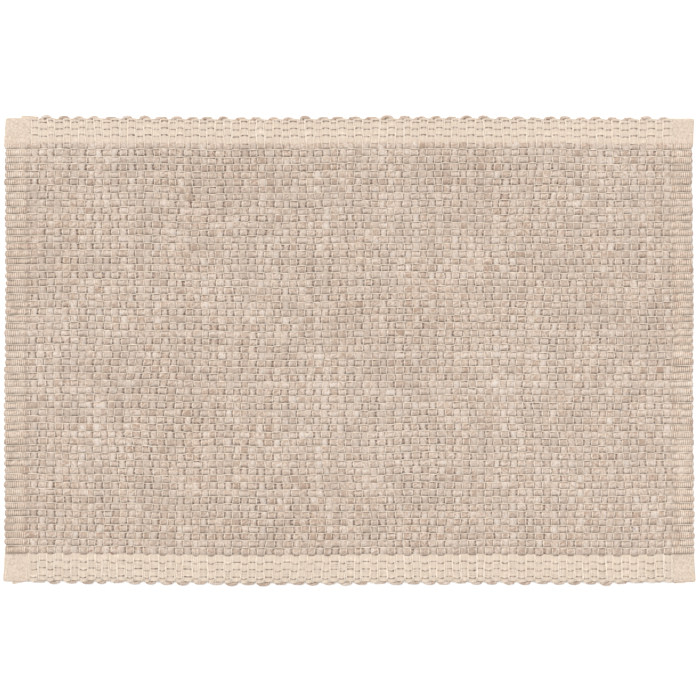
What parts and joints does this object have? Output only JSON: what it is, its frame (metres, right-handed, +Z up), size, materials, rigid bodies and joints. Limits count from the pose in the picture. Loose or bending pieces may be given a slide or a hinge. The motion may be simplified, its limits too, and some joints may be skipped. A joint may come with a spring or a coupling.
{
  "type": "woven placemat",
  "caption": "Rectangular placemat of thick slub cotton in plain weave, with ribbed turned-under hems at the short ends and fine looped selvedges along the long edges.",
  "frame": {"origin": "under the middle of the placemat's box, on the table it lies on", "axes": "+X along the long side, towards the right of the picture; +Y along the short side, towards the top of the picture; +Z up out of the table"},
  "size_m": [0.481, 0.3308, 0.0048],
  "materials": {
    "greige_cotton": "matte"
  },
  "bodies": {
    "root": {"placemat_cloth": "greige_cotton"}
  },
  "joints": []
}
